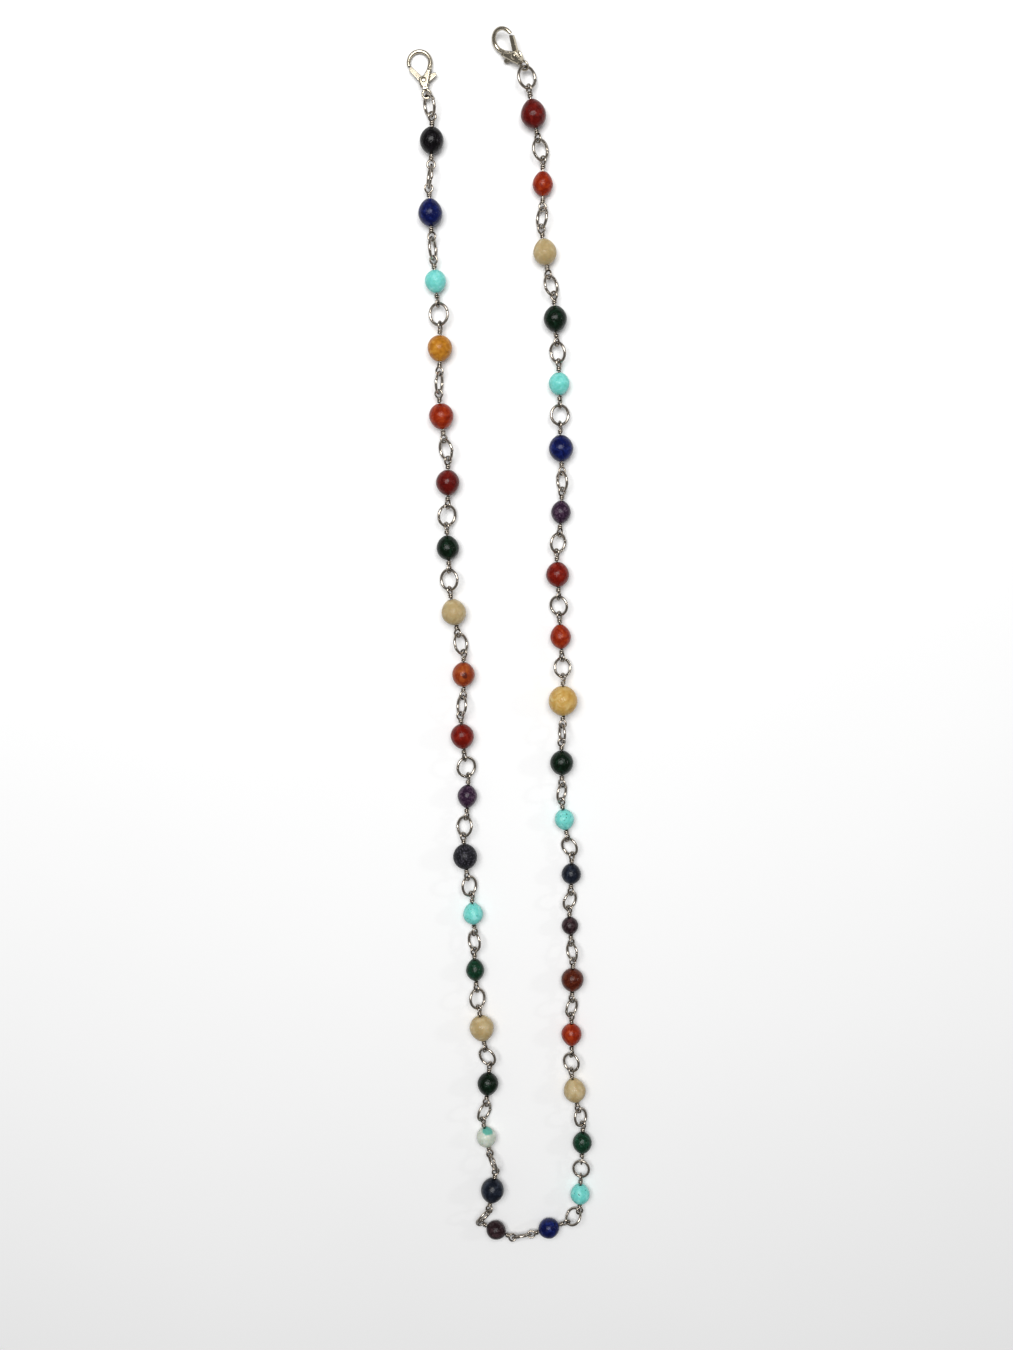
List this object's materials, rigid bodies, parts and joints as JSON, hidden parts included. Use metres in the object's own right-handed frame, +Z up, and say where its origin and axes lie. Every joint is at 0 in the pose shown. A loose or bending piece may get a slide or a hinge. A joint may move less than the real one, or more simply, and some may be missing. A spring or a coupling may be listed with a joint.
{
  "type": "beaded eyeglass chain",
  "caption": "Beaded eyeglass chain: polished stone beads on wrapped-wire eye links, joined by jump rings, with a lobster clasp at each end.",
  "frame": {"origin": "on the surface that the chain lies on, under the centre of its outline", "axes": "+Y along the two strands towards the clasps, +X across them to the right-hand strand, +Z up"},
  "size_m": [0.0401, 0.3494, 0.0084],
  "materials": {
    "stone_amber": "polished amber orange stone",
    "stone_amethyst": "polished amethyst stone",
    "stone_carnelian": "polished orange carnelian stone",
    "stone_cream": "polished cream stone",
    "stone_forest": "polished very dark green stone",
    "stone_honey": "polished honey yellow stone",
    "stone_jasper": "polished red jasper stone",
    "stone_lapis": "polished deep blue stone",
    "stone_midnight": "polished midnight blue stone",
    "stone_moss": "polished dark green stone",
    "stone_ochre": "polished ochre stone",
    "stone_onyx": "polished near-black purple agate stone",
    "stone_oxblood": "polished dark red jasper stone",
    "stone_plum": "polished dark plum stone",
    "stone_russet": "polished russet brown stone",
    "stone_shell": "polished white stone",
    "stone_slate": "polished blue-black stone",
    "stone_turquoise": "polished turquoise stone",
    "silver_wire": "antique silver plated wire, darkened in the hollows",
    "silver_clasp": "antique silver plated casting, worn bright on the high spots",
    "spring_steel": "satin"
  },
  "bodies": {
    "link_01": {"bead_link_01": "stone_onyx"},
    "link_02": {"bead_link_02": "stone_lapis"},
    "link_03": {"bead_link_03": "stone_turquoise"},
    "link_04": {"bead_link_04": "stone_ochre"},
    "link_05": {"bead_link_05": "stone_carnelian"},
    "link_06": {"bead_link_06": "stone_oxblood"},
    "link_07": {"bead_link_07": "stone_forest"},
    "link_08": {"bead_link_08": "stone_cream"},
    "link_09": {"bead_link_09": "stone_amber"},
    "link_10": {"bead_link_10": "stone_jasper"},
    "link_11": {"bead_link_11": "stone_amethyst"},
    "link_12": {"bead_link_12": "stone_slate"},
    "link_13": {"bead_link_13": "stone_turquoise"},
    "link_14": {"bead_link_14": "stone_moss"},
    "link_15": {"bead_link_15": "stone_cream"},
    "link_16": {"bead_link_16": "stone_forest"},
    "link_17": {"bead_link_17": "stone_shell"},
    "link_18": {"bead_link_18": "stone_midnight"},
    "link_19": {"bead_link_19": "stone_plum"},
    "link_20": {"bead_link_20": "stone_lapis"},
    "link_21": {"bead_link_21": "stone_turquoise"},
    "link_22": {"bead_link_22": "stone_moss"},
    "link_23": {"bead_link_23": "stone_cream"},
    "link_24": {"bead_link_24": "stone_carnelian"},
    "link_25": {"bead_link_25": "stone_russet"},
    "link_26": {"bead_link_26": "stone_plum"},
    "link_27": {"bead_link_27": "stone_midnight"},
    "link_28": {"bead_link_28": "stone_turquoise"},
    "link_29": {"bead_link_29": "stone_forest"},
    "link_30": {"bead_link_30": "stone_honey"},
    "link_31": {"bead_link_31": "stone_carnelian"},
    "link_32": {"bead_link_32": "stone_jasper"},
    "link_33": {"bead_link_33": "stone_amethyst"},
    "link_34": {"bead_link_34": "stone_lapis"},
    "link_35": {"bead_link_35": "stone_turquoise"},
    "link_36": {"bead_link_36": "stone_forest"},
    "link_37": {"bead_link_37": "stone_cream"},
    "link_38": {"bead_link_38": "stone_carnelian"},
    "link_39": {"bead_link_39": "stone_oxblood"},
    "left_end_ring": {"left_end_ring": "silver_wire"},
    "left_clasp": {"left_clasp_hook": "silver_clasp", "left_clasp_rivet": "silver_clasp", "left_clasp_spring": "spring_steel"},
    "left_lever": {"left_clasp_lever": "silver_clasp"},
    "right_end_ring": {"right_end_ring": "silver_wire"},
    "right_clasp": {"right_clasp_hook": "silver_clasp", "right_clasp_rivet": "silver_clasp", "right_clasp_spring": "spring_steel"},
    "right_lever": {"right_clasp_lever": "silver_clasp"}
  },
  "joints": [
    {"name": "left_ring_swing", "type": "hinge", "parent": "link_01", "child": "left_end_ring", "pos_m": [-0.0131, 0.15426, 0.0032], "axis": [0.8843, -0.0774, -0.4604], "range_deg": [-45, 45]},
    {"name": "left_clasp_swing", "type": "hinge", "parent": "left_end_ring", "child": "left_clasp", "pos_m": [-0.01414, 0.15782, 0.00263], "axis": [-0.9848, -0.1736, 0], "range_deg": [-30, 30]},
    {"name": "left_lever_press", "type": "hinge", "parent": "left_clasp", "child": "left_lever", "pos_m": [-0.01481, 0.16219, 0.00193], "axis": [0.0272, -0.1541, -0.9877], "range_deg": [0, 24], "stiffness_Nm_per_rad": 0.008, "springref_deg": -11.46},
    {"name": "right_ring_swing", "type": "hinge", "parent": "link_39", "child": "right_end_ring", "pos_m": [0.01236, 0.15877, 0.0034], "axis": [0.8412, 0.1083, -0.5298], "range_deg": [-75, 75]},
    {"name": "right_clasp_swing", "type": "hinge", "parent": "right_end_ring", "child": "right_clasp", "pos_m": [0.01161, 0.16411, 0.0033], "axis": [-0.8412, -0.1083, 0.5298], "range_deg": [-60, 60]},
    {"name": "right_lever_press", "type": "hinge", "parent": "right_clasp", "child": "right_lever", "pos_m": [0.0093, 0.16694, 0.00317], "axis": [-0.5148, -0.3852, 0.7659], "range_deg": [0, 24], "stiffness_Nm_per_rad": 0.008, "springref_deg": -11.46},
    {"name": "bend_19_20", "type": "hinge", "parent": "link_20", "child": "link_19", "pos_m": [-0.00812, -0.17436, 0.0029], "axis": [-0.4611, -0.7986, 0.3869], "range_deg": [-30, 30]},
    {"name": "bend_18_19", "type": "hinge", "parent": "link_19", "child": "link_18", "pos_m": [-0.0159, -0.16444, 0.0036], "axis": [0.828, -0.176, 0.5324], "range_deg": [-50, 50]},
    {"name": "bend_17_18", "type": "hinge", "parent": "link_18", "child": "link_17", "pos_m": [-0.01427, -0.14609, 0.003], "axis": [-0.9225, -0.1297, 0.3635], "range_deg": [-50, 50]},
    {"name": "bend_16_17", "type": "hinge", "parent": "link_17", "child": "link_16", "pos_m": [-0.01479, -0.1291, 0.0032], "axis": [0.7587, -0.1066, 0.6426], "range_deg": [-50, 50]},
    {"name": "bend_15_16", "type": "hinge", "parent": "link_16", "child": "link_15", "pos_m": [-0.01397, -0.11022, 0.0037], "axis": [-0.8586, -0.1214, -0.498], "range_deg": [-75, 75]},
    {"name": "bend_14_15", "type": "hinge", "parent": "link_15", "child": "link_14", "pos_m": [-0.01551, -0.09148, 0.0028], "axis": [0.7714, -0.0496, -0.6344], "range_deg": [-75, 75]},
    {"name": "bend_13_14", "type": "hinge", "parent": "link_14", "child": "link_13", "pos_m": [-0.01501, -0.07441, 0.003], "axis": [-0.7689, -0.0134, 0.6393], "range_deg": [-50, 50]},
    {"name": "bend_12_13", "type": "hinge", "parent": "link_13", "child": "link_12", "pos_m": [-0.0162, -0.05619, 0.0036], "axis": [0.7194, 0.1996, -0.6653], "range_deg": [-75, 75]},
    {"name": "bend_11_12", "type": "hinge", "parent": "link_12", "child": "link_11", "pos_m": [-0.01539, -0.03801, 0.0029], "axis": [-0.7645, 0.094, -0.6377], "range_deg": [-75, 75]},
    {"name": "bend_10_11", "type": "hinge", "parent": "link_11", "child": "link_10", "pos_m": [-0.01489, -0.02029, 0.0034], "axis": [0.8922, 0.1635, -0.4209], "range_deg": [-75, 75]},
    {"name": "bend_09_10", "type": "hinge", "parent": "link_10", "child": "link_09", "pos_m": [-0.01422, -0.00302, 0.0034], "axis": [-0.9057, 0.0633, 0.4192], "range_deg": [-50, 50]},
    {"name": "bend_08_09", "type": "hinge", "parent": "link_09", "child": "link_08", "pos_m": [-0.01454, 0.01486, 0.0035], "axis": [0.8158, 0.1002, 0.5696], "range_deg": [-50, 50]},
    {"name": "bend_07_08", "type": "hinge", "parent": "link_08", "child": "link_07", "pos_m": [-0.01601, 0.03399, 0.0032], "axis": [-0.8664, 0.0035, -0.4993], "range_deg": [-75, 75]},
    {"name": "bend_06_07", "type": "hinge", "parent": "link_07", "child": "link_06", "pos_m": [-0.01533, 0.05182, 0.0033], "axis": [0.8143, -0.0897, -0.5735], "range_deg": [-75, 75]},
    {"name": "bend_05_06", "type": "hinge", "parent": "link_06", "child": "link_05", "pos_m": [-0.01519, 0.06893, 0.0034], "axis": [-0.7656, -0.0401, 0.6421], "range_deg": [-50, 50]},
    {"name": "bend_04_05", "type": "hinge", "parent": "link_05", "child": "link_04", "pos_m": [-0.01536, 0.08695, 0.0034], "axis": [0.9636, -0.0674, 0.2587], "range_deg": [-50, 50]},
    {"name": "bend_03_04", "type": "hinge", "parent": "link_04", "child": "link_03", "pos_m": [-0.01473, 0.10583, 0.0029], "axis": [-0.9368, -0.0797, -0.3407], "range_deg": [-75, 75]},
    {"name": "bend_02_03", "type": "hinge", "parent": "link_03", "child": "link_02", "pos_m": [-0.01522, 0.12201, 0.0033], "axis": [0.9661, 0, 0.2583], "range_deg": [-50, 50]},
    {"name": "bend_01_02", "type": "hinge", "parent": "link_02", "child": "link_01", "pos_m": [-0.01433, 0.14019, 0.0032], "axis": [-0.9743, 0.0852, 0.2086], "range_deg": [-50, 50]},
    {"name": "bend_20_21", "type": "hinge", "parent": "link_20", "child": "link_21", "pos_m": [0.01194, -0.16678, 0.003], "axis": [-0.9214, 0.0644, 0.3833], "range_deg": [-30, 30]},
    {"name": "bend_21_22", "type": "hinge", "parent": "link_21", "child": "link_22", "pos_m": [0.01336, -0.14899, 0.003], "axis": [0.9728, -0.1022, 0.2079], "range_deg": [-75, 75]},
    {"name": "bend_22_23", "type": "hinge", "parent": "link_22", "child": "link_23", "pos_m": [0.01296, -0.13172, 0.0034], "axis": [-0.6729, -0.2238, 0.705], "range_deg": [-75, 75]},
    {"name": "bend_23_24", "type": "hinge", "parent": "link_23", "child": "link_24", "pos_m": [0.01182, -0.11358, 0.0031], "axis": [0.8189, -0.0384, 0.5726], "range_deg": [-75, 75]},
    {"name": "bend_24_25", "type": "hinge", "parent": "link_24", "child": "link_25", "pos_m": [0.01256, -0.09681, 0.0034], "axis": [-0.7408, 0.0518, -0.6697], "range_deg": [-50, 50]},
    {"name": "bend_25_26", "type": "hinge", "parent": "link_25", "child": "link_26", "pos_m": [0.01323, -0.07936, 0.0025], "axis": [0.8468, 0.0148, -0.5318], "range_deg": [-50, 50]},
    {"name": "bend_26_27", "type": "hinge", "parent": "link_26", "child": "link_27", "pos_m": [0.01375, -0.06258, 0.0029], "axis": [-0.7078, 0.0445, 0.705], "range_deg": [-75, 75]},
    {"name": "bend_27_28", "type": "hinge", "parent": "link_27", "child": "link_28", "pos_m": [0.01347, -0.04605, 0.0029], "axis": [0.7708, 0.1638, 0.6157], "range_deg": [-75, 75]},
    {"name": "bend_28_29", "type": "hinge", "parent": "link_28", "child": "link_29", "pos_m": [0.0126, -0.03036, 0.0034], "axis": [-0.8634, 0.0301, -0.5037], "range_deg": [-50, 50]},
    {"name": "bend_29_30", "type": "hinge", "parent": "link_29", "child": "link_30", "pos_m": [0.01356, -0.01268, 0.0042], "axis": [0.9659, -0.0506, -0.254], "range_deg": [-50, 50]},
    {"name": "bend_30_31", "type": "hinge", "parent": "link_30", "child": "link_31", "pos_m": [0.01425, 0.0072, 0.003], "axis": [-0.8679, 0.1003, 0.4865], "range_deg": [-75, 75]},
    {"name": "bend_31_32", "type": "hinge", "parent": "link_31", "child": "link_32", "pos_m": [0.01412, 0.02486, 0.0033], "axis": [0.8654, -0.044, 0.4992], "range_deg": [-75, 75]},
    {"name": "bend_32_33", "type": "hinge", "parent": "link_32", "child": "link_33", "pos_m": [0.0152, 0.04239, 0.0028], "axis": [-0.7898, 0.2243, 0.5709], "range_deg": [-75, 75]},
    {"name": "bend_33_34", "type": "hinge", "parent": "link_33", "child": "link_34", "pos_m": [0.01662, 0.05848, 0.0034], "axis": [0.8662, 0, -0.4997], "range_deg": [-50, 50]},
    {"name": "bend_34_35", "type": "hinge", "parent": "link_34", "child": "link_35", "pos_m": [0.0168, 0.0773, 0.0029], "axis": [-0.9645, 0.0586, 0.2576], "range_deg": [-75, 75]},
    {"name": "bend_35_36", "type": "hinge", "parent": "link_35", "child": "link_36", "pos_m": [0.01673, 0.09395, 0.0032], "axis": [0.7669, 0.0031, 0.6417], "range_deg": [-75, 75]},
    {"name": "bend_36_37", "type": "hinge", "parent": "link_36", "child": "link_37", "pos_m": [0.01534, 0.1106, 0.0032], "axis": [-0.7649, -0.0804, -0.6391], "range_deg": [-50, 50]},
    {"name": "bend_37_38", "type": "hinge", "parent": "link_37", "child": "link_38", "pos_m": [0.01455, 0.12804, 0.0028], "axis": [0.8797, -0.0461, -0.4734], "range_deg": [-50, 50]},
    {"name": "bend_38_39", "type": "hinge", "parent": "link_38", "child": "link_39", "pos_m": [0.01415, 0.14602, 0.0034], "axis": [-0.7339, -0.2318, 0.6385], "range_deg": [-75, 75]}
  ]
}
